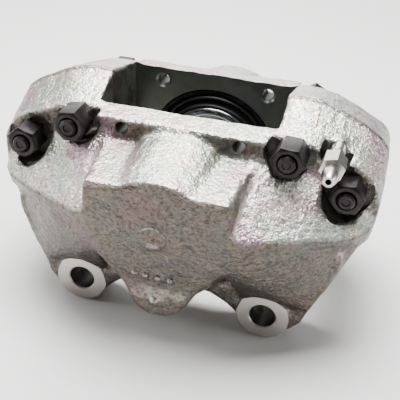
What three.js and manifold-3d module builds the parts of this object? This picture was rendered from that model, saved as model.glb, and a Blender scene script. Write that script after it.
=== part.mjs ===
// Fixed two-piston brake caliper, lug mounted, without pads.
// Millimetres. +X along the caliper, +Y through the disc away from the knuckle, +Z away from the axle.
// While it is being built, the piston axis is the line x = z = 0 and y = 0 is midway between the
// two machined faces that the pads slide between. The group at the end moves the whole caliper so
// that its origin lies on the machined knuckle face of the inboard half.
import * as THREE from 'three';
import { ConvexGeometry } from 'three/addons/geometries/ConvexGeometry.js';
import { mergeVertices } from 'three/addons/utils/BufferGeometryUtils.js';
import Module from 'manifold-3d';

const wasm = await Module();
wasm.setup();

// Driving dimensions
const PISTON_R = 28.5;
const NOSE_R = 24.6; // the part of the piston that stands out of its bore
const NOSE_FRONT = 21.5;
const PISTON_BACK = 55;
const BORE_CLEARANCE = 0.3;
const GAP = 0.2; // between faces that touch on the real caliper
const DISC_R = 132; // swept by the disc, with its clearance
const DISC_CENTRE_Z = -106;
const DISC_OUT = 16; // how far outboard the bridge is relieved for it
const FACE = 24.7; // machined face of each half, from the middle of the window
const WEB = 12; // thickness of the wall that carries the pad pins
const PARTING_Y = -5.5;
const WINDOW_HALF = 42.5; // as cast
const ABUTMENT_HALF = 43.1; // machined, where the pads bear
const BORE_DEPTH = 60;
const PIN = { x: 27.85, z: 35.5, radius: 3.1 };
const LUG = { x: 47.3, z: -49.25, radius: 12.9, hole: 6.5, front: 44.9 };
const BOLTS = [
  { x: 51, z: 35.2, nutSeat: 30, nutHeight: 14 },
  { x: 78.1, z: 20, nutSeat: 28.5, nutHeight: 11.2 },
];
const BOLT_R = 4;
const BOLT_HOLE_R = 4.5;
const BOLT_PROUD = 1.6; // thread showing past the nut
const BOLT_END_CHAMFER = 0.8;
const SPOT_FACE_R = 11.4;
const HEAD_SEAT = 27.5; // outboard spot faces, from the middle of the window
const NUT_FLATS = 14;
const HEAD_FLATS = 14;
const HEAD_HEIGHT = 4.5;
const HEAD_SPOT_R = 9.6;
const BLEEDER = { x: 70.3, z: 36.2, pocket: 7.4, floor: 23, seat: 14, tip: 55, flats: 10 };
const PASSAGE = { x: 64, z: 27, radius: 1.8 };
const BOOT_R = 33.7;
const BOOT_POCKET = 4.6;
const SEAL = { depth: 35, width: 4.4, groove: 3.3 };
const O_RING = { radius: 4.65, section: 1, groove: 2.3 };
const ROUND = 40; // sides of the large round pieces
const SMALL_ROUND = 20; // sides of the small ones

// Finishes
const plated = { color: 0xb9b4a8, roughness: 0.5, metalness: 0.85 };
const blackOxide = { color: 0x1d1b1c, roughness: 0.45, metalness: 0.6 };
const brightSteel = { color: 0xc9c9c4, roughness: 0.3, metalness: 1 };
const chromedSteel = { color: 0xd5d7d8, roughness: 0.15, metalness: 1 };
const rubber = { color: 0x161616, roughness: 0.6, metalness: 0 };

// Solids: three.js geometries, joined and cut by Manifold
function solid(geometry) {
  const bare = geometry.clone();
  bare.deleteAttribute('normal');
  bare.deleteAttribute('uv');
  const merged = mergeVertices(bare, 1e-4);
  const mesh = new wasm.Mesh({
    numProp: 3,
    vertProperties: new Float32Array(merged.attributes.position.array),
    triVerts: new Uint32Array(merged.index.array),
  });
  return new wasm.Manifold(mesh);
}

const join = (solids) => solids.reduce((sum, each) => sum.add(each));
const cut = (body, tools) => body.subtract(join(tools));

function hull(points) {
  return solid(new ConvexGeometry(points.map((p) => new THREE.Vector3(...p))));
}

// A round bar along Y from depth a to depth b
function bar(radius, a, b, x = 0, z = 0, sides = SMALL_ROUND, farRadius = radius) {
  const low = Math.min(a, b);
  const high = Math.max(a, b);
  const [top, bottom] = a < b ? [farRadius, radius] : [radius, farRadius];
  return solid(new THREE.CylinderGeometry(top, bottom, high - low, sides).translate(x, (low + high) / 2, z));
}

// A straight round hole or bar between any two points
function drill(radius, from, to, sides = 10) {
  const start = new THREE.Vector3(...from);
  const way = new THREE.Vector3(...to).sub(start);
  const geometry = new THREE.CylinderGeometry(radius, radius, way.length(), sides);
  const turn = new THREE.Quaternion().setFromUnitVectors(new THREE.Vector3(0, 1, 0), way.clone().normalize());
  const middle = start.addScaledVector(way, 0.5);
  return solid(geometry.applyQuaternion(turn).translate(middle.x, middle.y, middle.z));
}

// A closed profile of [radius, y] points turned about the Y axis
function turned(profile, sides = ROUND) {
  const next = (i) => profile[(i + 1) % profile.length];
  const area = profile.reduce((sum, [r, y], i) => sum + r * next(i)[1] - next(i)[0] * y, 0);
  const points = profile.map(([r, y]) => new THREE.Vector2(r, y));
  if (area < 0) points.reverse(); // a lathe faces outwards when its profile runs anticlockwise
  const loop = points[0].x > 0 ? [...points, points[0].clone()] : points;
  return solid(new THREE.LatheGeometry(loop, sides));
}

function box(low, high) {
  const size = high.map((value, i) => value - low[i]);
  const middle = high.map((value, i) => (value + low[i]) / 2);
  return solid(new THREE.BoxGeometry(...size).translate(...middle));
}

// An outline in X and Z, carried along Y from depth a to depth b
function slab(outline, a, b) {
  const shape = new THREE.Shape(outline.map(([x, z]) => new THREE.Vector2(x, z)));
  const geometry = new THREE.ExtrudeGeometry(shape, { depth: Math.abs(b - a), bevelEnabled: false });
  return solid(geometry.rotateX(Math.PI / 2).translate(0, Math.max(a, b), 0));
}

function hexBar(flats, a, b, x, z, turn = 0) {
  const corner = flats / Math.sqrt(3);
  const geometry = new THREE.CylinderGeometry(corner, corner, Math.abs(b - a), 6);
  return solid(geometry.rotateY(turn).translate(x, (a + b) / 2, z));
}

function mesh(name, manifold, finish) {
  const { vertProperties, triVerts } = manifold.getMesh();
  const geometry = new THREE.BufferGeometry();
  geometry.setAttribute('position', new THREE.BufferAttribute(new Float32Array(vertProperties), 3));
  geometry.setIndex(new THREE.BufferAttribute(new Uint32Array(triVerts), 1));
  geometry.computeVertexNormals();
  const piece = new THREE.Mesh(geometry, new THREE.MeshStandardMaterial(finish));
  piece.name = name;
  return piece;
}

const caliper = new THREE.Group();
const add = (name, manifold, finish) => caliper.add(mesh(name, manifold, finish));

// Castings. Both halves are written in depth from the middle of the window, which the
// direction (-1 inboard, +1 outboard) turns into y, and on the right side, mirrored by side.
const both = [-1, 1];
const place = (points, side, direction) => points.map(([x, depth, z]) => [side * x, direction * depth, z]);
const partingDepth = (direction) => direction * PARTING_Y + GAP / 2;

// The bridge over the disc: its top falls away from the parting plane and rounds over at the end
const BRIDGE_TOP = [
  [42, 51.2], [49.5, 51.4], [56.5, 51], [63.7, 49], [73.5, 45.2], [82.5, 40.4], [88, 36.6], [91.2, 32.6], [92.6, 28],
];
const BRIDGE_END = [[93, 18], [92.5, 6], [90.5, -5], [87, -9], [42, 8]];

function bridge(side, direction, lipDepth, fall) {
  const start = partingDepth(direction);
  const drop = fall * (lipDepth - start);
  const near = BRIDGE_TOP.map(([x, z]) => [x, start, z]);
  const lip = BRIDGE_TOP.map(([x, z]) => [x - 0.6, lipDepth, z - drop]);
  const ends = BRIDGE_END.flatMap(([x, z]) => [[x, start, z], [x - 0.6, lipDepth, Math.min(z, 12)]]);
  return hull(place([...near, ...lip, ...ends], side, direction));
}

// The shoulder under the bolts, whose top runs out and down to a sharp lower edge
function shoulder(side, direction) {
  return hull(place([
    [33, FACE, 38], [33, 33, 34.5], [44, 31, 32.5], [60, 30, 25.5], [75, 29.5, 19], [87, 29, 13.5], [91.4, 27, 10],
    [33, 70.6, 8.5], [39.4, 69.2, 7.3], [62, 56.8, 5.6], [84.7, 43.5, 3.6], [90.6, 34, 3.6],
    [33, 67, -8.5], [53.9, 60.2, -1.6], [86, 36, -6], [89.6, 28, -6], [33, FACE, -10], [88, FACE, -8],
  ], side, direction));
}

// The cylinder: a block with drooping shoulders, a domed crown and a lower boss
function cylinderBody(direction) {
  const pair = (points) => [...place(points, 1, direction), ...place(points, -1, direction)];
  const block = hull(pair([
    [35.8, 38, 29], [38, 36, 0], [38, 36, -20], [28, 36, -36], [32.4, 71.6, 26], [20, 71.2, 23.7],
    [34, 70.8, 6.7], [36.5, 66, -8.5], [18.6, 64, -28.8],
  ]));
  const crown = hull(pair([
    [21, 36, 28.6], [15, 36, 34.2], [8, 36, 37.3], [0, 36, 38],
    [20, 70.4, 23.7], [14, 71.2, 27.4], [7, 71.8, 29.8], [0, 72, 30.5],
  ]));
  const boss = hull(pair([
    [20.5, 63.5, -26], [18.6, 64, -28.8], [14.1, 65, -36], [10, 65.2, -42.5], [5, 65, -45.6],
    [0, 65, -46.2], [22, 36, -30], [17, 40, -40], [9, 42, -45.2],
  ]));
  return join([block, crown, boss]);
}

// The wall between cylinder and window, which carries the pad pins
function pinWall(direction, halfLength, top, bottom) {
  return hull([-halfLength, halfLength].flatMap((x) => [
    [x, direction * FACE, top], [x, direction * (FACE + WEB - 1), top - 1.4], [x, direction * (FACE + WEB), top - 2.6],
    [x * 0.6, direction * FACE, bottom], [x * 0.6, direction * (FACE + WEB), bottom],
    [x, direction * FACE, -8], [x, direction * (FACE + WEB), -8],
  ]));
}

// What is bored, drilled and spot-faced in either half
function machining(direction, abutment, spotFaceR, seatDepth) {
  const y = (depth) => direction * depth;
  const boreR = PISTON_R + BORE_CLEARANCE;
  const tools = [
    bar(DISC_R, -FACE, DISC_OUT, 0, DISC_CENTRE_Z, 96),
    box([-WINDOW_HALF, -FACE, -60], [WINDOW_HALF, FACE, 60]),
    box([-ABUTMENT_HALF, abutment[0], -60], [ABUTMENT_HALF, abutment[1], 60]),
    bar(boreR, y(FACE - 1), y(BORE_DEPTH), 0, 0, ROUND),
    bar(boreR + SEAL.groove, y(SEAL.depth), y(SEAL.depth + SEAL.width), 0, 0, ROUND),
    bar(BOOT_R + BORE_CLEARANCE, y(FACE - 1), y(FACE + BOOT_POCKET), 0, 0, ROUND),
  ];
  for (const side of both) {
    tools.push(bar(PIN.radius, y(FACE - 1), y(60), side * PIN.x, PIN.z, 16));
    for (const bolt of BOLTS) {
      const seat = seatDepth(bolt);
      tools.push(bar(BOLT_HOLE_R, y(-8), y(seat + 1), side * bolt.x, bolt.z));
      tools.push(bar(spotFaceR, y(seat), y(80), side * bolt.x, bolt.z, 32));
    }
  }
  return tools;
}

// Fluid path from the parting plane into the back of a bore, in two straight drillings
function passages(direction) {
  const turn = { depth: 38, z: PASSAGE.z - 12 };
  const back = { x: PISTON_R - 2.5, depth: BORE_DEPTH - 2.2, z: 2 };
  return both.flatMap((side) => [
    drill(PASSAGE.radius, [side * PASSAGE.x, direction * (partingDepth(direction) - 1), PASSAGE.z],
      [side * PASSAGE.x, direction * turn.depth, turn.z]),
    drill(PASSAGE.radius, [side * PASSAGE.x, direction * (turn.depth - 0.6), turn.z],
      [side * back.x, direction * back.depth, back.z]),
  ]);
}

// Inboard half: mounting lugs, bleeder seat, hose port and cast marks
const LUG_PLATE = [
  [0, -44], [19.4, -43.9], [26.7, -47.3], [32.6, -51.7], [38, -57], [60, -56.9], [65.5, -50.9], [68.6, -43.2],
  [76.4, -25.8], [80, -16], [81, -8], [60, 4], [0, 4],
];

function lugPlate(side) {
  const outline = LUG_PLATE.map(([x, z]) => [side * x, z]);
  const plate = slab(side > 0 ? outline : outline.reverse(), -FACE, -42.8);
  const boss = bar(LUG.radius, -FACE, -LUG.front, side * LUG.x, LUG.z, 32);
  const slope = hull(place([
    [30, 65.2, -14], [36.5, 65.8, -8.5], [53.9, 61.1, -0.9], [72, 48.5, -2.4], [86, 34, -8],
    [35, 44, -40], [58, 44, -38], [68.4, 42.8, -42.6], [76.4, 41, -25.8],
    [30, FACE, -14], [30, FACE, -36], [53, FACE, 3], [84, FACE, 0], [68.4, FACE, -42.6], [83, FACE, -10],
  ], side, -1));
  return join([plate, boss, slope]);
}

// A raised ring and plain pips, where the foundry's marks would be
function castMarks() {
  const ring = bar(6.2, -60, -70.6, -1, 1.3, 24).subtract(bar(5.3, -55, -71, -1, 1.3, 24));
  const row = [-10.5, -5.6, 0.3, 6.6].map((x) => bar(1.7, -60, -65.8, x, -23 - 0.06 * x, 8));
  return join([ring, ...row, bar(2, -60, -65.9, -1.4, -37.2, 8)]);
}

function oRingGroove(side) {
  const at = [side * PASSAGE.x, PASSAGE.z];
  return bar(6.3, PARTING_Y + 1, PARTING_Y - O_RING.groove, ...at, 24)
    .subtract(bar(3, PARTING_Y + 2, PARTING_Y - O_RING.groove - 1, ...at, 12));
}

const inboardSolids = [
  pinWall(-1, 45, 41.6, -44),
  cylinderBody(-1),
  castMarks(),
  ...both.flatMap((side) => [
    bridge(side, -1, 30, 0.46),
    shoulder(side, -1),
    lugPlate(side),
  ]),
];
const inboardTools = [
  ...machining(-1, [-FACE, -8], SPOT_FACE_R, (bolt) => bolt.nutSeat),
  ...passages(-1),
  ...both.flatMap((side) => [
    oRingGroove(side),
    bar(LUG.hole, -20, -60, side * LUG.x, LUG.z, 24),
    bar(LUG.radius, -LUG.front, -70, side * LUG.x, LUG.z, 32),
  ]),
  bar(BLEEDER.pocket, -BLEEDER.floor, -60, BLEEDER.x, BLEEDER.z, 24),
  bar(3.7, -BLEEDER.seat, -40, BLEEDER.x, BLEEDER.z, 16),
  drill(1.5, [BLEEDER.x, -BLEEDER.seat - 0.5, BLEEDER.z], [PASSAGE.x, -BLEEDER.seat - 3, PASSAGE.z - 4]),
  drill(4.6, [0, -58, -60], [0, -58, -36], 16),
  drill(2, [0, -58, -37], [0, -58, -24]),
];
add('inboard_half', cut(join(inboardSolids), inboardTools), plated);

// Outboard half: the same cylinder and bridge without lugs, with lower seats for the bolt heads
const outboardSolids = [
  pinWall(1, 45, 42.5, -42),
  cylinderBody(1),
  ...both.flatMap((side) => [bridge(side, 1, 29, 0.247), shoulder(side, 1)]),
];
const outboardTools = [...machining(1, [10, FACE], HEAD_SPOT_R, () => HEAD_SEAT), ...passages(1)];
add('outboard_half', cut(join(outboardSolids), outboardTools), plated);

// Pistons, seals, dust boots and boot rings
for (const [name, direction] of [['inboard', -1], ['outboard', 1]]) {
  const ringOf = (profile) => turned(profile.map(([r, depth]) => [r, direction * depth]));
  add(`${name}_piston`, ringOf([
    [0, 48], [20.5, 48], [20.5, NOSE_FRONT + 0.8], [21.3, NOSE_FRONT], [NOSE_R - 0.6, NOSE_FRONT],
    [NOSE_R, NOSE_FRONT + 0.6], [NOSE_R, 29.8], [PISTON_R, 29.8], [PISTON_R, PISTON_BACK - 1],
    [PISTON_R - 1, PISTON_BACK], [0, PISTON_BACK],
  ]), chromedSteel);
  add(`${name}_piston_seal`, ringOf([
    [PISTON_R + 0.25, SEAL.depth + GAP], [PISTON_R + 0.25, SEAL.depth + SEAL.width - GAP],
    [PISTON_R + 3.3, SEAL.depth + SEAL.width - GAP], [PISTON_R + 3.3, SEAL.depth + GAP],
  ]), rubber);
  add(`${name}_dust_boot`, ringOf([
    [BOOT_R - 0.2, 26.3], [BOOT_R - 0.2, 29.1], [30.6, 29.1], [30.6, 27.4], [29.4, 25.9], [27.4, 27.8],
    [NOSE_R + 0.3, 27.8], [NOSE_R + 0.3, 22.6], [26.2, 22.6], [26.2, 26.2], [27, 26.2], [29.4, 24.1], [30.9, 26.3],
  ]), rubber);
  add(`${name}_boot_ring`, ringOf([
    [31.3, 24.9], [31.3, 26.1], [BOOT_R - 0.2, 26.1], [BOOT_R - 0.2, 24.9],
  ]), blackOxide);
}

// Bridge bolts and their nuts, numbered from the left, each with the turn of its nut and its head
const fasteners = [
  [-1, BOLTS[1], 48, 30], [-1, BOLTS[0], 21, 30], [1, BOLTS[0], 34, 0], [1, BOLTS[1], 24, 15],
];

// The round chamfer on the corners of a hexagon, at the end away from its seat
function chamferCone(flats, seat, end, x, z) {
  const reach = flats * 0.48;
  const bevel = 0.26 * flats;
  const way = Math.sign(end - seat);
  return bar(reach + bevel / 0.55, end - way * bevel, end, x, z, 24, reach)
    .add(bar(reach + bevel / 0.55, seat - way, end - way * bevel, x, z, 24));
}

fasteners.forEach(([side, bolt, nutTurn, headTurn], index) => {
  const { z } = bolt;
  const x = side * bolt.x;
  const hexagon = (flats, from, to, degrees) => hexBar(flats, from, to, x, z, THREE.MathUtils.degToRad(degrees))
    .intersect(chamferCone(flats, from, to, x, z));
  const seat = -bolt.nutSeat - GAP;
  const nutEnd = seat - bolt.nutHeight;
  const nut = hexagon(NUT_FLATS, seat, nutEnd, nutTurn).subtract(bar(BOLT_R + GAP, seat + 1, nutEnd - 1, x, z));
  add(`bridge_nut_${index + 1}`, nut, blackOxide);
  const headSeat = HEAD_SEAT + GAP;
  const boltEnd = nutEnd - BOLT_PROUD;
  const chamferStart = boltEnd + BOLT_END_CHAMFER;
  const shank = join([
    hexagon(HEAD_FLATS, headSeat, headSeat + HEAD_HEIGHT, headTurn),
    bar(BOLT_R, headSeat + 1, chamferStart, x, z),
    bar(BOLT_R - BOLT_END_CHAMFER, boltEnd, chamferStart, x, z, SMALL_ROUND, BOLT_R),
  ]);
  add(`bridge_bolt_${index + 1}`, shank, blackOxide);
});

// O-rings that seal the fluid passages across the parting plane
for (const [name, side] of [['left', -1], ['right', 1]]) {
  const ring = new THREE.TorusGeometry(O_RING.radius, O_RING.section, 8, 20);
  ring.rotateX(Math.PI / 2).translate(side * PASSAGE.x, PARTING_Y - O_RING.groove / 2, PASSAGE.z);
  add(`crossover_o_ring_${name}`, solid(ring), rubber);
}

// Bleeder screw: seat cone, thread, neck, hexagon and hose nipple
const HEX = { from: 34, to: 44.8, chamfer: 0.5 }; // depths
const NIPPLE_R = 3.9;
const bleederRound = turned([
  [0, 14.6], [1.4, 14.6], [3.4, 16.6], [3.4, HEX.from], [5.6, HEX.from], [5.6, HEX.to], [NIPPLE_R, HEX.to],
  [NIPPLE_R, 50.5], [3, 54], [2.6, BLEEDER.tip], [0, BLEEDER.tip],
].map(([r, depth]) => [r, -depth]), 20);
const bleederHex = join([
  hexBar(BLEEDER.flats, -HEX.from - HEX.chamfer, -HEX.to + HEX.chamfer, 0, 0, 0.3),
  bar(4.6, -10, -HEX.from - HEX.chamfer, 0, 0),
  bar(4.7, -HEX.to + HEX.chamfer, -60, 0, 0),
]);
const bleeder = bleederRound.intersect(bleederHex).subtract(bar(1.4, -20, -60, 0, 0, 10));
add('bleeder_screw', bleeder.translate(BLEEDER.x, 0, BLEEDER.z), brightSteel);

// The origin is a point of the machined knuckle face, below the bore and between the lugs
caliper.position.set(0, FACE, 40);
caliper.updateMatrixWorld(true);

export default caliper;
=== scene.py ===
import math

import bmesh
import bpy
from mathutils import Matrix, Vector


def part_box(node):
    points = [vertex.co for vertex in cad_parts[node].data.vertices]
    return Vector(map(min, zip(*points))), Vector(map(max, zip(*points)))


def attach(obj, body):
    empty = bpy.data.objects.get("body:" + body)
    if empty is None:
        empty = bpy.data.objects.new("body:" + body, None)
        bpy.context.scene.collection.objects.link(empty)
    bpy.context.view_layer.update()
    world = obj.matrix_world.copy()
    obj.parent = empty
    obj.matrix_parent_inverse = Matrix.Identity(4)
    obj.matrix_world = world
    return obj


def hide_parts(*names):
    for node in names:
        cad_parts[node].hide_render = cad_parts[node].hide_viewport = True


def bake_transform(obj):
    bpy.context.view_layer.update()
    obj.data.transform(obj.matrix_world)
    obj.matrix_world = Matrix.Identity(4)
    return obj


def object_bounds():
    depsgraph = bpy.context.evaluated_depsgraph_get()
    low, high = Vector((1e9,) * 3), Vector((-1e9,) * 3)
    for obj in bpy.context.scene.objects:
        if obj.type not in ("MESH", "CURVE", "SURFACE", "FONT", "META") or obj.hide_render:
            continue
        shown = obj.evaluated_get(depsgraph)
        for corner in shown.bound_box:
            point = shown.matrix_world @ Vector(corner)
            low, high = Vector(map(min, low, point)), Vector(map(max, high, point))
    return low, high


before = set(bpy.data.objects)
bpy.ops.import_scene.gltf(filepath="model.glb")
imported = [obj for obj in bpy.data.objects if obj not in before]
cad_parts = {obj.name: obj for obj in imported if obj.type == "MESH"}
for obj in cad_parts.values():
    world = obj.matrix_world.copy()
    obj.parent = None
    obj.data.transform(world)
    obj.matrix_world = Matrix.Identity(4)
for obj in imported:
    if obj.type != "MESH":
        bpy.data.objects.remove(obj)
cad_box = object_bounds()


# The two castings. Each half of a fixed caliper is sand-cast iron, shot-blasted, machined on the
# faces that matter, then zinc plated and passivated. So the skin is softly rounded and grainy,
# and the faces, spot faces and holes cut into it afterwards are crisp.
MM = 0.001
AXIS = Vector((0, 24.7, 40)) * MM  # the piston axis, at the middle of the pad window
INBOARD, OUTBOARD = -1, 1
SIDES = (-1, 1)
FACE = 24.7  # machined face of each half, measured from the middle of the window
PARTING = -5.5
STOCK = 3  # left standing on the parting face of a raw casting
SKIN_VOXEL = 1.08 * MM
FILLET_PASSES = 9
SAND_WAVES = ((16, 1.1), (4.5, 0.6))  # size and height of the skin's waviness, in millimetres
CAST_CREASE = 38  # degrees at which an edge of a casting is shaded sharp
WINDOW_HALF = 42.5
ABUTMENT_HALF = 43.1
DISC = {"radius": 132, "z": -106}
BORE = {"radius": 28.8, "end": 60}
SEAL_GROOVE = {"radius": 32.1, "start": 35, "end": 39.4}
BOOT_POCKET = {"radius": 34, "end": 29.3}
PIN_HOLE = {"x": 27.85, "z": 35.5, "radius": 3.1, "chamfer": 4.3}
LUG = {"x": 47.3, "z": -49.25, "radius": 12.9, "hole": 6.5, "front": -44.9}
BOLT_HOLE = 4.5
BOLTS = [  # across, up, inboard seat, outboard seat
    {"x": 51.0, "z": 35.2, "nut_seat": -30.0, "head_seat": 27.5},
    {"x": 78.1, "z": 20.0, "nut_seat": -28.5, "head_seat": 27.5},
]
BLEEDER = {"x": 70.3, "z": 36.2, "pocket": 7.5, "hole": 3.7}
PASSAGE = {"x": 64.0, "z": 27.0, "radius": 2.1, "ring_recess": 6.5}
HOSE_PORT = {"y": -58, "radius": 4.6}


def linear(hex_colour):
    """An sRGB hex colour as the linear RGBA that a shader wants."""
    channels = [int(hex_colour[i:i + 2], 16) / 255 for i in (1, 3, 5)]
    return [c / 12.92 if c < 0.04045 else ((c + 0.055) / 1.055) ** 2.4 for c in channels] + [1]


def add_node(tree, kind, links=None, **settings):
    """One node: settings by attribute or by input name, links as {input: output socket}."""
    node = tree.nodes.new(kind)
    for name, value in settings.items():
        plain = name.replace("_", " ").title()
        if hasattr(node, name):
            setattr(node, name, value)
        elif plain in node.inputs:
            node.inputs[plain].default_value = value
    for socket, source in (links or {}).items():
        tree.links.new(source, node.inputs[socket])
    return node


def new_material(name):
    material = bpy.data.materials.new(name)
    material.use_nodes = True
    material.node_tree.nodes.clear()
    return material, material.node_tree


def ramp(tree, factor, stops):
    """A colour ramp through (position, hex colour) stops."""
    node = add_node(tree, "ShaderNodeValToRGB", {"Fac": factor})
    elements = node.color_ramp.elements
    while len(elements) < len(stops):
        elements.new(0.5)
    for element, (position, colour) in zip(elements, stops):
        element.position = position
        element.color = linear(colour)
    return node.outputs["Color"]


def noise(tree, place, millimetres, detail=2.0, roughness=0.5):
    node = add_node(tree, "ShaderNodeTexNoise", {"Vector": place}, detail=detail, roughness=roughness)
    node.inputs["Scale"].default_value = 1 / (millimetres * MM)
    return node.outputs["Fac"]


def feed(tree, socket, source):
    """Links an input to another node's output, or sets it to a plain value."""
    if isinstance(source, bpy.types.NodeSocket):
        tree.links.new(source, socket)
    else:
        socket.default_value = source


def finish_surface(tree, colour, roughness, normal=None, metallic=0.0):
    """The principled shader and output that every material here ends in."""
    shader = add_node(tree, "ShaderNodeBsdfPrincipled", metallic=metallic)
    feed(tree, shader.inputs["Base Color"], colour)
    feed(tree, shader.inputs["Roughness"], roughness)
    if normal is not None:
        feed(tree, shader.inputs["Normal"], normal)
    add_node(tree, "ShaderNodeOutputMaterial", {"Surface": shader.outputs["BSDF"]})


def mixed(tree, factor, first, second, blend="MIX"):
    """Two colours mixed or multiplied by a factor, each of them a socket or a constant."""
    node = add_node(tree, "ShaderNodeMix", data_type="RGBA", blend_type=blend)
    for name, source in (("Factor_Float", factor), ("A_Color", first), ("B_Color", second)):
        feed(tree, next(socket for socket in node.inputs if socket.identifier == name), source)
    return next(socket for socket in node.outputs if socket.identifier == "Result_Color")


def bumped(tree, height, millimetres, strength=1.0, under=None):
    node = add_node(tree, "ShaderNodeBump", {"Height": height}, strength=strength)
    node.inputs["Distance"].default_value = millimetres * MM
    if under is not None:
        tree.links.new(under, node.inputs["Normal"])
    return node.outputs["Normal"]


def ranged(tree, value, low, high, start=0.0, end=1.0):
    """A value carried from the range start-end to the range low-high."""
    node = add_node(tree, "ShaderNodeMapRange", {"Value": value})
    for name, number in (("From Min", start), ("From Max", end), ("To Min", low), ("To Max", high)):
        node.inputs[name].default_value = number
    return node.outputs["Result"]


def plated_cast_iron():
    """Zinc over a sand-cast skin. Painted light: the colour is a pale lit tint on faces that look up and a
    dark brown-grey shaded tint on upright faces, standing in for the overhead light and the shade on the
    sides, with pink, green and straw drifting over both. The moulding sand has pressed a grain into the skin,
    drawn here as noise of 0.9 to 2 mm so that it shows."""
    material, tree = new_material("plated_sand_cast_iron")
    source = add_node(tree, "ShaderNodeTexCoord")
    place = source.outputs["Object"]
    # painted light: the slope of each face (its normal's Z, with a noisy edge) mixes a lit tint on top with a
    # shaded tint on the upright faces
    upward = add_node(tree, "ShaderNodeSeparateXYZ", {"Vector": source.outputs["Normal"]}).outputs["Z"]
    drift = noise(tree, place, 24, 2)
    bright = ramp(tree, drift, [
        (0.32, "#d8c3c4"), (0.43, "#dad8d3"), (0.50, "#cbd3cb"), (0.57, "#dcd7c8"), (0.68, "#d8c0c8"),
    ])
    painted_shade_tint = ramp(tree, drift, [
        (0.32, "#6d605c"), (0.45, "#6a635e"), (0.52, "#64625e"), (0.60, "#6d665c"), (0.70, "#6e6062"),
    ])
    ragged = add_node(tree, "ShaderNodeMath", operation="ADD")
    tree.links.new(upward, ragged.inputs[0])
    tree.links.new(ranged(tree, noise(tree, place, 9, 3), -0.22, 0.22), ragged.inputs[1])
    painted_light_mix = ranged(tree, ragged.outputs["Value"], 0, 1, 0.05, 0.62)
    skin = mixed(tree, painted_light_mix, painted_shade_tint, bright)
    speckle = noise(tree, place, 1.7, 4, 0.7)
    pits = ramp(tree, speckle, [(0.36, "#6a625c"), (0.5, "#e8e6e3"), (0.62, "#ffffff")])
    colour = mixed(tree, 0.6, skin, pits, "MULTIPLY")
    coarse = noise(tree, place, 2.0, 3, 0.6)
    fine = noise(tree, place, 0.9, 2)
    normal = bumped(tree, fine, 0.35, 0.8, bumped(tree, coarse, 1.0, 1.0))
    finish_surface(tree, colour, ranged(tree, speckle, 0.42, 0.24, 0.3, 0.7), normal, metallic=0.95)
    return material


def machined_plated_iron(name, stops):
    """The same plating over a milled or turned face: smoother and greyer, with the faint streaks of the
    cutter. Inside the window it is greenish; on the lug faces a lighter copy is used, painted light standing
    in for the light that falls on them."""
    material, tree = new_material(name)
    place = add_node(tree, "ShaderNodeTexCoord").outputs["Object"]
    cloud = noise(tree, place, 14, 3)
    colour = ramp(tree, cloud, stops)
    streak_map = add_node(tree, "ShaderNodeMapping", {"Vector": place})
    streak_map.inputs["Scale"].default_value = (1, 1, 0.06)
    streaks = noise(tree, streak_map.outputs["Vector"], 0.9, 2)
    finish_surface(tree, colour, 0.36, bumped(tree, streaks, 0.1, 0.2), metallic=0.9)
    return material


def drilled_iron():
    """Holes, pockets and the spot faces under the nuts, painted dull and dark: painted shade inside the holes
    and pockets, and a painted dark reflection on the spot faces.
    """
    material, tree = new_material("drilled_iron_painted_shade")
    place = add_node(tree, "ShaderNodeTexCoord").outputs["Object"]
    cloud = noise(tree, place, 5, 3)
    # painted shade and dark reflection: near-black browns
    colour = ramp(tree, cloud, [(0.35, "#2b2926"), (0.65, "#45423c")])
    rings = noise(tree, place, 0.8, 2)
    finish_surface(tree, colour, 0.45, bumped(tree, rings, 0.1, 0.3), metallic=0.6)
    return material


def mesh_object(name, mesh, materials=()):
    piece = bpy.data.objects.new(name, mesh)
    bpy.context.scene.collection.objects.link(piece)
    for material in materials:
        mesh.materials.append(material)
    return piece


def bar(radius, start, end, x=0.0, z=0.0, sides=64, end_radius=None):
    """A round bar or cone along Y, in millimetres from the piston axis."""
    shape = bmesh.new()
    bmesh.ops.create_cone(
        shape, cap_ends=True, segments=sides, radius1=radius * MM, depth=abs(end - start) * MM,
        radius2=(radius if end_radius is None else end_radius) * MM,
    )
    turn = Matrix.Rotation(math.radians(-90 if end > start else 90), 4, "X")
    middle = AXIS + Vector((x, (start + end) / 2, z)) * MM
    shape.transform(Matrix.Translation(middle) @ turn)
    return shape


def rod(radius, start, end, sides=24):
    """A round bar between two points, in millimetres from the piston axis."""
    start, end = Vector(start) * MM + AXIS, Vector(end) * MM + AXIS
    shape = bmesh.new()
    bmesh.ops.create_cone(
        shape, cap_ends=True, segments=sides, radius1=radius * MM, radius2=radius * MM,
        depth=(end - start).length,
    )
    turn = Vector((0, 0, 1)).rotation_difference(end - start).to_matrix().to_4x4()
    shape.transform(Matrix.Translation((start + end) / 2) @ turn)
    return shape


def block(low, high):
    """A box between its lowest and highest corners, in millimetres from the piston axis. Corners
    given in reverse order along one axis turn it inside out."""
    shape = bmesh.new()
    bmesh.ops.create_cube(shape, size=1)
    low, high = Vector(low) * MM + AXIS, Vector(high) * MM + AXIS
    size = Matrix.Diagonal((*(high - low), 1))
    shape.transform(Matrix.Translation((low + high) / 2) @ size)
    return shape


def pip(radius, x, y, z):
    """A ball that leaves a round bump or dimple in the skin."""
    shape = bmesh.new()
    bmesh.ops.create_icosphere(shape, subdivisions=3, radius=radius * MM)
    shape.transform(Matrix.Translation(AXIS + Vector((x, y, z)) * MM))
    return shape


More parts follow.
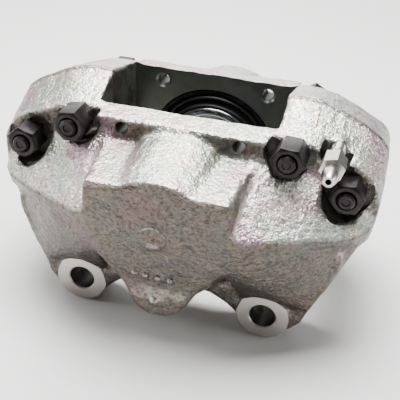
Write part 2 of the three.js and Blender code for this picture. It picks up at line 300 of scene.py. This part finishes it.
def raised_ring(radius, section, x, y, z):
    """A ring of round section, leaning back with the cylinder's front."""
    shape = bmesh.new()
    steps, sides = 48, 12
    lean = Matrix.Rotation(math.radians(90 + 11), 4, "X")
    grid = [[None] * sides for _ in range(steps)]
    for step in range(steps):
        for turn in range(sides):
            around, across = 2 * math.pi * step / steps, 2 * math.pi * turn / sides
            reach = radius + section * math.cos(across)
            spot = Vector((reach * math.cos(around), reach * math.sin(around), section * math.sin(across)))
            grid[step][turn] = shape.verts.new((lean @ spot + Vector((x, y, z))) * MM + AXIS)
    for step in range(steps):
        for turn in range(sides):
            after, over = (step + 1) % steps, (turn + 1) % sides
            shape.faces.new([grid[step][turn], grid[after][turn], grid[after][over], grid[step][over]])
    return shape


def as_mesh(name, shapes):
    """Several bmesh shapes in one mesh."""
    whole = bmesh.new()
    for shape in shapes:
        part = bpy.data.meshes.new("part")
        shape.to_mesh(part)
        shape.free()
        whole.from_mesh(part)
        bpy.data.meshes.remove(part)
    mesh = bpy.data.meshes.new(name)
    whole.to_mesh(mesh)
    whole.free()
    return mesh


def settle(piece):
    """Replaces a piece's mesh by its evaluated one and drops the modifiers."""
    graph = bpy.context.evaluated_depsgraph_get()
    result = bpy.data.meshes.new_from_object(
        piece.evaluated_get(graph), preserve_all_data_layers=True, depsgraph=graph)
    piece.modifiers.clear()
    old = piece.data
    piece.data = result
    bpy.data.meshes.remove(old)


def apply_tool(piece, tool, operation):
    """Cuts a piece by a tool, joins the two or keeps what they share, and discards the tool."""
    working = piece.modifiers.new("working", "BOOLEAN")
    working.object = tool
    working.operation = operation
    working.solver = "MANIFOLD"
    settle(piece)
    bpy.data.objects.remove(tool)


def machine(piece, shapes, material, operation="DIFFERENCE"):
    """Cuts one shape after another out of a casting, or joins it on. The surface that a shape
    leaves has the given material, one of the casting's own."""
    skins = list(piece.data.materials)
    for shape in shapes:
        tool = mesh_object("tool", as_mesh("tool", [shape]), skins)
        tool.data.polygons.foreach_set("material_index", [skins.index(material)] * len(tool.data.polygons))
        apply_tool(piece, tool, operation)


def smooth_shade(mesh, degrees):
    mesh.polygons.foreach_set("use_smooth", [True] * len(mesh.polygons))
    mesh.set_sharp_from_angle(angle=math.radians(degrees))


def rough_casting(node, direction, plugs):
    """The raw casting: the CAD solid with its holes stopped and stock left on its parting face,
    skinned over, rounded and roughened like sand-cast iron, and kept inside the solid's width and
    height."""
    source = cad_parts[node].data.copy()
    whole = bmesh.new()
    whole.from_mesh(source)
    bmesh.ops.remove_doubles(whole, verts=whole.verts, dist=1e-6)
    proud = whole.copy()
    bmesh.ops.translate(proud, verts=proud.verts, vec=(0, -direction * STOCK * MM, 0))
    mesh = as_mesh(node, [whole, proud, *plugs])
    bpy.data.meshes.remove(source)
    piece = mesh_object(node + "_casting", mesh)
    skin = piece.modifiers.new("skin", "REMESH")
    skin.mode = "VOXEL"
    skin.voxel_size = SKIN_VOXEL
    rounding = piece.modifiers.new("rounding", "SMOOTH")
    rounding.factor = 0.5
    rounding.iterations = FILLET_PASSES
    for size, height in SAND_WAVES:
        texture = bpy.data.textures.new("sand", "CLOUDS")
        texture.noise_scale = size * MM
        texture.noise_depth = 1
        waviness = piece.modifiers.new("sand", "DISPLACE")
        waviness.texture = texture
        waviness.texture_coords = "LOCAL"
        waviness.strength = height * MM
        waviness.mid_level = 0.5
    settle(piece)
    low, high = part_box(node)
    for vertex in piece.data.vertices:
        vertex.co.x = min(max(vertex.co.x, low[0]), high[0])
        vertex.co.z = min(max(vertex.co.z, low[2]), high[2])
    return piece


def machining(direction, abutment, sweep_end):
    """What is milled and bored in either half: the parting face, the sweep of the disc, the window,
    the abutments, the bore with its groove and pocket, and the pin holes' chamfers. On the outboard
    half the parting block's corners come in reverse order along Y, so the block is inside out and
    leaves the stock standing instead of facing it off."""
    tools = [
        block((-110, PARTING + 0.25 * direction, -90), (110, PARTING - 60 * direction, 90)),
        bar(DISC["radius"], -FACE, sweep_end, 0, DISC["z"], 192),
        block((-WINDOW_HALF, -FACE, -80), (WINDOW_HALF, FACE, 80)),
        block((-ABUTMENT_HALF, abutment[0], -80), (ABUTMENT_HALF, abutment[1], 80)),
        bar(BORE["radius"], direction * (FACE - 1), direction * BORE["end"], sides=96),
        bar(SEAL_GROOVE["radius"],
            direction * SEAL_GROOVE["start"], direction * SEAL_GROOVE["end"], sides=96),
        bar(BOOT_POCKET["radius"], direction * (FACE - 1), direction * BOOT_POCKET["end"], sides=128),
    ]
    for side in SIDES:
        tools.append(bar(PIN_HOLE["chamfer"], direction * (FACE - 0.1), direction * (FACE + 1.1),
                         side * PIN_HOLE["x"], PIN_HOLE["z"], 40, end_radius=3.0))
    return tools


def drilling(direction, spot_radius, seat_name):
    """The pin holes, the bolt holes and the spot faces around them."""
    tools = []
    for side in SIDES:
        start, end = direction * (FACE - 1), direction * 60
        tools.append(bar(PIN_HOLE["radius"], start, end, side * PIN_HOLE["x"], PIN_HOLE["z"], 40))
        for bolt in BOLTS:
            seat = bolt[seat_name]
            tools.append(bar(BOLT_HOLE, direction * -8, seat + direction, side * bolt["x"], bolt["z"], 32))
            tools.append(bar(spot_radius, seat, direction * 80, side * bolt["x"], bolt["z"], 72))
    return tools


def stopping(direction, seat_name):
    """Plugs that close the bore, the holes and the fluid passages while the skin is formed, each a
    little larger than what it fills. The passages aren't drilled again afterwards."""
    plugs = [
        bar(BORE["radius"] + 0.1, direction * (FACE - 3), direction * (BORE["end"] + 0.2)),
        bar(SEAL_GROOVE["radius"] + 0.1,
            direction * (SEAL_GROOVE["start"] - 0.1), direction * (SEAL_GROOVE["end"] + 0.1)),
        bar(BOOT_POCKET["radius"] + 0.1, direction * (FACE - 3), direction * (BOOT_POCKET["end"] + 0.1)),
    ]
    for side in SIDES:
        x, z = side * PASSAGE["x"], PASSAGE["z"]
        plugs.append(bar(PIN_HOLE["radius"] + 0.2, direction * (FACE - 3), direction * 36.2,
                         side * PIN_HOLE["x"], PIN_HOLE["z"]))
        plugs.append(rod(PASSAGE["radius"], (x, PARTING - direction * 2.5, z), (x, direction * 38, z - 12)))
        plugs.append(rod(PASSAGE["radius"], (x, direction * 37.2, z - 12), (side * 24, direction * 57.8, 2)))
        for bolt in BOLTS:
            plugs.append(bar(BOLT_HOLE + 0.3, PARTING - direction * 2.8, bolt[seat_name] - direction * 0.3,
                             side * bolt["x"], bolt["z"]))
    return plugs


cast_skin = plated_cast_iron()
machined_skin = machined_plated_iron(
    "machined_plated_iron", [(0.3, "#686c66"), (0.5, "#7b7d77"), (0.7, "#77736b")])
# Painted light: a lighter copy of the milled finish for the lug faces, standing in for the light that falls
# on them.
painted_lit_milled_skin = machined_plated_iron(
    "milled_iron_painted_lit", [(0.3, "#b3ada3"), (0.5, "#c3bfb8"), (0.7, "#bcb0ab")])
painted_shade_drilled_skin = drilled_iron()
SKINS = (cast_skin, machined_skin, painted_lit_milled_skin, painted_shade_drilled_skin)

# The recesses for the crossover O-rings are plugged here too, and aren't cut again.
inboard_plugs = stopping(INBOARD, "nut_seat") + [
    bar(BLEEDER["hole"] + 0.2, -13, -22.6, BLEEDER["x"], BLEEDER["z"]),
    rod(HOSE_PORT["radius"] + 0.2, (0, HOSE_PORT["y"], -45.4), (0, HOSE_PORT["y"], -24)),
]
for side in SIDES:
    inboard_plugs.append(bar(LUG["radius"], -21.7, LUG["front"] - 2, side * LUG["x"], LUG["z"]))
    inboard_plugs.append(bar(PASSAGE["ring_recess"], PARTING - 2.5, PARTING + 2.5,
                             side * PASSAGE["x"], PASSAGE["z"]))
inboard = rough_casting("inboard_half", INBOARD, inboard_plugs)
for skin in SKINS:
    inboard.data.materials.append(skin)
# Foundry marks: a row of pips, one pip below it and a ring stand proud, and two dimples are sunk.
marks = []
for x in (-10.5, -5.6, 0.3, 6.6):
    marks.append(pip(2.0, x, -65.0, -23 - 0.06 * x))
marks.append(pip(2.4, -1.4, -65.0, -37.2))
marks.append(raised_ring(5.8, 0.75, -1, -69.8, 1.3))
machine(inboard, marks, cast_skin, "UNION")
machine(inboard, [pip(1.4, -1, -70.3, 1.3), pip(1.0, 8.3, -71.6, 16.8)], cast_skin)
lug_faces = []
lug_holes = [
    bar(BLEEDER["pocket"], -23, -60, BLEEDER["x"], BLEEDER["z"], 48),
    bar(BLEEDER["hole"], -14, -40, BLEEDER["x"], BLEEDER["z"], 24),
    rod(HOSE_PORT["radius"], (0, HOSE_PORT["y"], -70), (0, HOSE_PORT["y"], -36), 32),
]
for side in SIDES:
    x = side * LUG["x"]
    lug_faces.append(bar(13.3, LUG["front"], -70, x, LUG["z"], 72))
    lug_faces.append(bar(7.2, LUG["front"] - 0.1, LUG["front"] + 0.6, x, LUG["z"], 48, 6.4))
    lug_holes.append(bar(LUG["hole"], -20, -60, x, LUG["z"], 48))
machine(inboard, machining(INBOARD, (-FACE, -8), 10), machined_skin)
machine(inboard, lug_faces, painted_lit_milled_skin)
machine(inboard, drilling(INBOARD, 11.5, "nut_seat") + lug_holes, painted_shade_drilled_skin)
smooth_shade(inboard.data, CAST_CREASE)
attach(inboard, "caliper")
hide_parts("inboard_half")

outboard = rough_casting("outboard_half", OUTBOARD, stopping(OUTBOARD, "head_seat"))
for skin in SKINS:
    outboard.data.materials.append(skin)
machine(outboard, machining(OUTBOARD, (10, FACE), 16), machined_skin)
machine(outboard, drilling(OUTBOARD, 9.7, "head_seat"), painted_shade_drilled_skin)
smooth_shade(outboard.data, CAST_CREASE)
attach(outboard, "caliper")
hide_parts("outboard_half")


# The bridge bolts and nuts. Cold-forged steel, chemically blackened and lightly oiled: near black
# with a plum cast, and worn to bare metal along the edges. The nut's top corners are turned off in
# a cone, and the bolt's end shows its thread, a chamfer and a shallow hollow.
def blackened_steel():
    """Black oxide over forged steel: dark and half glossy, with brown-violet mottling."""
    material, tree = new_material("black_oxide_steel")
    place = add_node(tree, "ShaderNodeTexCoord").outputs["Object"]
    mottle = noise(tree, place, 4, 4, 0.6)
    colour = ramp(tree, mottle, [(0.35, "#1c1a1c"), (0.55, "#2b2627"), (0.72, "#3a3030")])
    grain = bumped(tree, noise(tree, place, 0.5, 3), 0.08, 0.25)
    finish_surface(tree, colour, ranged(tree, mottle, 0.28, 0.5), grain, metallic=0.75)
    return material


def lathe(profile, place, sides=96, thread=None):
    """A (radius, depth) profile in millimetres turned about Y at place (x, z). A thread is
    (first depth, last depth, pitch, height): its crests wind round as a helix."""
    shape = bmesh.new()
    rings = []
    for radius, depth in profile:
        ring = []
        for step in range(sides if radius > 0 else 1):
            angle = 2 * math.pi * step / sides
            reach = radius
            if thread and thread[0] < abs(depth) < thread[1]:
                turn = (abs(depth) / thread[2] + step / sides) % 1
                reach -= thread[3] * abs(2 * turn - 1)
            spot = Vector((place[0] + reach * math.cos(angle), depth, place[1] + reach * math.sin(angle)))
            ring.append(shape.verts.new(AXIS + spot * MM))
        rings.append(ring)
    closed = profile[0][0] > 0
    pairs = list(zip(rings, rings[1:] + rings[:1])) if closed else list(zip(rings, rings[1:]))
    for near, far in pairs:
        for step in range(sides):
            quad = [near[step % len(near)], near[(step + 1) % sides % len(near)],
                    far[(step + 1) % sides % len(far)], far[step % len(far)]]
            corners = list(dict.fromkeys(quad))
            if len(corners) > 2:
                shape.faces.new(corners)
    bmesh.ops.recalc_face_normals(shape, faces=shape.faces)
    if shape.calc_volume(signed=True) < 0:
        bmesh.ops.reverse_faces(shape, faces=shape.faces)
    return shape


def hexagon(flats, start, end, x, z, degrees):
    """A hexagon bar along Y, turned by some degrees about its own middle at (x, z)."""
    shape = bar(flats / math.sqrt(3), start, end, 0, 0, 6)
    turn = Matrix.Rotation(math.radians(degrees), 4, "Y")
    spot = AXIS + Vector((x, 0, z)) * MM
    shape.transform(Matrix.Translation(spot) @ turn @ Matrix.Translation(-AXIS))
    return shape


def worn_edges(piece):
    bevel = piece.modifiers.new("worn edges", "BEVEL")
    bevel.width = EDGE_WEAR * MM
    bevel.segments = 2
    bevel.limit_method = "ANGLE"
    bevel.angle_limit = math.radians(24)
    bevel.use_clamp_overlap = True
    settle(piece)
    smooth_shade(piece.data, STEEL_CREASE)


def combined(piece, other, operation):
    apply_tool(piece, mesh_object("tool", as_mesh("tool", [other])), operation)


THREAD = {"pitch": 1.25, "height": 0.5}
HEX_FLATS = 14.0
HEAD_HEIGHT = 4.5
BOLT_R = 4.0
BOLT_PROUD = 1.6  # how far a bolt's end stands out of its nut
END_CHAMFER = 0.8
NUT_CONE = {"radius": 6.5, "depth": 3.2}
EDGE_WEAR = 0.25
STEEL_CREASE = 32
FASTENERS = [  # side, bolt, nut turn, head turn, nut height
    (-1, BOLTS[1], 48, 30, 11.2), (-1, BOLTS[0], 21, 30, 14.0),
    (1, BOLTS[0], 34, 0, 14.0), (1, BOLTS[1], 24, 15, 11.2),
]
black_steel = blackened_steel()
for number, (side, bolt, nut_turn, head_turn, height) in enumerate(FASTENERS, 1):
    x, z = side * bolt["x"], bolt["z"]
    seat = bolt["nut_seat"] - 0.2
    top = seat - height
    nut_blank = hexagon(HEX_FLATS, seat, top, x, z, nut_turn)
    nut = mesh_object(f"nut_{number}", as_mesh("nut", [nut_blank]), [black_steel])
    cone = [(0, seat + 1), (12, seat + 1), (12, top + NUT_CONE["depth"]), (NUT_CONE["radius"], top), (0, top)]
    combined(nut, lathe(cone, (x, z), 72), "INTERSECT")
    tapped_hole = [
        (0, seat + 2), (4.2, seat + 2), (4.2, top + 0.7), (4.9, top - 0.1), (4.9, top - 1), (0, top - 1),
    ]
    combined(nut, lathe(tapped_hole, (x, z), 48), "DIFFERENCE")
    worn_edges(nut)
    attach(nut, "caliper")
    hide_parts(f"bridge_nut_{number}")
    end = top - BOLT_PROUD
    steps = int((seat + 2 - end - 1) / (THREAD["pitch"] / 4))
    threaded = [(BOLT_R, seat + 2 - step * THREAD["pitch"] / 4) for step in range(steps)]
    head_seat = bolt["head_seat"] + 0.2
    shank = [(0, head_seat + 0.5), (BOLT_R - 0.3, head_seat + 0.5), (BOLT_R - 0.3, seat + 3)] + threaded
    shank += [(BOLT_R, end + END_CHAMFER), (BOLT_R - END_CHAMFER, end)]
    shank += [(2.0, end), (1.6, end + 0.5), (0, end + 0.6)]
    ridges = (abs(seat) - 1, abs(end) - 0.9, THREAD["pitch"], THREAD["height"])
    piece = mesh_object(f"bolt_{number}", as_mesh("bolt", [lathe(shank, (x, z), 48, ridges)]), [black_steel])
    combined(piece, hexagon(HEX_FLATS, head_seat, head_seat + HEAD_HEIGHT, x, z, head_turn), "UNION")
    smooth_shade(piece.data, STEEL_CREASE)
    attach(piece, "caliper")
    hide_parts(f"bridge_bolt_{number}")


# The bleeder screw. Turned from bright zinc-plated hexagon bar: a threaded shank, a plain neck, the
# spanner hexagon with turned-off corners, and the nipple that a hose pushes on to, drilled through.
def bright_plated_steel():
    """Bright zinc on turned bar: pale and shiny, with the turning marks running round it."""
    material, tree = new_material("bright_zinc_turned_steel")
    place = add_node(tree, "ShaderNodeTexCoord").outputs["Object"]
    colour = ramp(tree, noise(tree, place, 3, 3), [(0.35, "#b5b5ae"), (0.6, "#cfcdc6")])
    rings = add_node(tree, "ShaderNodeTexWave", {"Vector": place}, bands_direction="Y", distortion=1.5)
    # A wave's bands lie pi / (10 * scale) apart, so these marks are 0.345 mm apart.
    rings.inputs["Scale"].default_value = 1 / (math.pi * 0.35 * MM)
    finish_surface(tree, colour, 0.3, bumped(tree, rings.outputs["Fac"], 0.05, 0.08), metallic=1.0)
    return material


at = (BLEEDER["x"], BLEEDER["z"])
BLEEDER_FLATS = 10
BLEEDER_THREAD = (18, 28, 1.0, 0.45)  # first depth, last depth, pitch, height
threaded = [(3.4, -18 - step * 0.25) for step in range(40)]
outline = [(0, -14.6), (1.4, -14.6), (3.4, -16.6)] + threaded
outline += [
    (3.2, -28.5), (3.2, -34), (6, -34), (6, -44.8), (3.5, -44.8), (3.5, -46.6), (3.9, -47.4),
    (3.9, -50.5), (3.0, -54), (2.5, -54.9), (1.4, -54.9), (1.4, -22), (0, -22),
]
screw = mesh_object("bleeder", as_mesh("bleeder", [lathe(outline, at, 48, BLEEDER_THREAD)]),
                    [bright_plated_steel()])
# What is kept of the turned bar: the hexagon, and round stock on either side of it.
envelope = mesh_object("envelope", as_mesh("envelope", [hexagon(BLEEDER_FLATS, -34.4, -44.4, *at, 17)]))
for shape in (bar(4.6, -10, -34.5, *at, 48), bar(4.7, -44.3, -60, *at, 48)):
    combined(envelope, shape, "UNION")
apply_tool(screw, envelope, "INTERSECT")
smooth_shade(screw.data, STEEL_CREASE)
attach(screw, "bleeder")
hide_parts("bleeder_screw")


# Inside each bore: the chromed piston, a ground tube with an open cup towards the pad; the dust
# boot, a moulded rubber bellows whose lip grips the piston's nose; and the pressed steel ring that
# holds the boot in its pocket. The seals lie hidden in their grooves.
def moulded_rubber():
    """Black rubber from a polished mould: dark, softly shiny, with a little chalky bloom."""
    material, tree = new_material("moulded_black_rubber")
    place = add_node(tree, "ShaderNodeTexCoord").outputs["Object"]
    bloom = noise(tree, place, 6, 4)
    colour = ramp(tree, bloom, [(0.4, "#0c0c0d"), (0.7, "#191919")])
    grain = bumped(tree, noise(tree, place, 0.6, 2), 0.05, 0.1)
    finish_surface(tree, colour, ranged(tree, bloom, 0.3, 0.55), grain)
    return material


def ground_chrome():
    """Hard chrome on a ground tube: bright, with hair-fine marks running round the axis."""
    material, tree = new_material("ground_chromed_steel")
    place = add_node(tree, "ShaderNodeTexCoord").outputs["Object"]
    colour = ramp(tree, noise(tree, place, 9, 3), [(0.35, "#a9adb0"), (0.65, "#c8cacb")])
    around = add_node(tree, "ShaderNodeMapping", {"Vector": place})
    around.inputs["Scale"].default_value = (0.05, 1, 0.05)
    marks = noise(tree, around.outputs["Vector"], 0.4, 2)
    finish_surface(tree, colour, 0.2, bumped(tree, marks, 0.04, 0.06), metallic=1.0)
    return material


def turned(name, outline, direction, material):
    """A piece turned about the piston axis, its depths running outwards from mid-window."""
    points = [(radius, direction * depth) for radius, depth in outline]
    piece = mesh_object(name, as_mesh(name, [lathe(points, (0, 0), 128)]), [material])
    smooth_shade(piece.data, 40)
    return piece


PISTON_OUTLINE = [
    (0, 48), (19.5, 48), (20.5, 47), (20.5, 22.3), (20.9, 21.7), (21.3, 21.5), (24.0, 21.5), (24.4, 21.7),
    (24.6, 22.1), (24.6, 29.8), (28.5, 29.8), (28.5, 54), (28.2, 54.7), (27.5, 55), (0, 55),
]
SEAL_OUTLINE = [
    (28.75, 35.4), (28.75, 39.0), (29.0, 39.2), (31.6, 39.2), (31.8, 39.0), (31.8, 35.4), (31.6, 35.2),
    (29.0, 35.2),
]
RETAINER_OUTLINE = [
    (31.3, 25.3), (31.3, 25.9), (31.5, 26.1), (33.3, 26.1), (33.5, 25.9), (33.5, 25.2), (33.3, 24.9),
    (31.7, 24.9),
]
# The bellows: a rim in the pocket, one smooth fold inwards, and a lip round the piston's nose. The
# inner wall comes back along the fold.
FOLD = [(31.2 - 0.22 * step, 26.35 - 1.75 * math.sin(math.pi * step / 18) ** 2) for step in range(19)]
FOLD_BACK = [(radius - 0.1, depth + 1.3) for radius, depth in reversed(FOLD)]
LIP = [
    (26.9, 26.1), (26.4, 25.6), (26.3, 23.1), (25.9, 22.7), (25.2, 22.7), (24.9, 23.0), (24.9, 27.5),
    (25.2, 27.8), (26.9, 27.8),
]
RIM = [(31.3, 28.8), (31.6, 29.1), (33.2, 29.1), (33.5, 28.8), (33.5, 26.6)]
BOOT_OUTLINE = [(33.3, 26.3), (31.6, 26.3)] + FOLD + LIP + FOLD_BACK + RIM

rubber, chrome = moulded_rubber(), ground_chrome()
for name, direction in (("inboard", INBOARD), ("outboard", OUTBOARD)):
    piston = turned(f"{name}_piston_turned", PISTON_OUTLINE, direction, chrome)
    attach(piston, f"{name}_piston")
    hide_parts(f"{name}_piston")
    seal = turned(f"{name}_seal_ring", SEAL_OUTLINE, direction, rubber)
    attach(seal, "caliper")
    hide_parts(f"{name}_piston_seal")
    boot = turned(f"{name}_boot_bellows", BOOT_OUTLINE, direction, rubber)
    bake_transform(boot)
    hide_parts(f"{name}_dust_boot")
    ring = turned(f"{name}_boot_retainer", RETAINER_OUTLINE, direction, black_steel)
    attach(ring, "caliper")
    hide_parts(f"{name}_boot_ring")

for side_name in ("left", "right"):
    o_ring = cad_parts[f"crossover_o_ring_{side_name}"].data
    o_ring.materials.clear()
    o_ring.materials.append(rubber)


# The camera, floor and light: a pale table, one broad light overhead and behind, weaker fills.
def look_from(azimuth, elevation, roll, distance, target, lens):
    """A camera at some degrees round from -Y and up, a distance from its target in metres."""
    turn, rise, tilt = (math.radians(a) for a in (azimuth, elevation, roll))
    back = Vector((math.sin(turn) * math.cos(rise), -math.cos(turn) * math.cos(rise), math.sin(rise)))
    right = Vector((math.cos(turn), math.sin(turn), 0))
    up = back.cross(right)
    across = math.cos(tilt) * right + math.sin(tilt) * up
    above = math.cos(tilt) * up - math.sin(tilt) * right
    axes = Matrix((across, above, back)).transposed().to_4x4()
    camera = bpy.data.objects.new("camera", bpy.data.cameras.new("camera"))
    camera.matrix_world = Matrix.Translation(target + back * distance) @ axes
    camera.data.lens = lens
    camera.data.clip_start = 0.01
    bpy.context.scene.collection.objects.link(camera)
    return camera


TARGET = AXIS + Vector((0.83, 2.3, -19.54)) * MM
bpy.context.scene.camera = look_from(
    azimuth=14.79, elevation=31.21, roll=2.72, distance=414.2 * MM, target=TARGET, lens=70.4)

floor_height = cad_box[0][2]
table = block((-3000, -3000, -1), (3000, 3000, 0))
table.transform(Matrix.Translation((0, 0, floor_height - AXIS.z)))
# The table is a plain matt laminate, the same all over, so it has one colour and no bump.
floor_material, floor_tree = new_material("pale_matte_table")
finish_surface(floor_tree, linear("#f1f0ee"), 0.8)
floor = mesh_object("floor", as_mesh("floor", [table]), [floor_material])


def area_light(name, place, size, watts):
    """A square white light that faces the caliper."""
    data = bpy.data.lights.new(name, "AREA")
    data.energy = watts
    data.size = size
    light = bpy.data.objects.new(name, data)
    light.location = place
    light.rotation_euler = (TARGET - Vector(place)).to_track_quat("-Z", "Y").to_euler()
    bpy.context.scene.collection.objects.link(light)


area_light("overhead", (-0.05, 0.12, 0.75), 0.5, 21)
area_light("behind", (-0.25, 0.9, 0.45), 0.9, 9)
area_light("left", (-0.8, 0.0, 0.35), 0.35, 3)
area_light("right", (0.9, 0.1, 0.35), 0.35, 3)
world = bpy.data.worlds.new("studio")
world.use_nodes = True
world.node_tree.nodes["Background"].inputs["Color"].default_value = (1, 1, 1, 1)
world.node_tree.nodes["Background"].inputs["Strength"].default_value = 0.12
bpy.context.scene.world = world
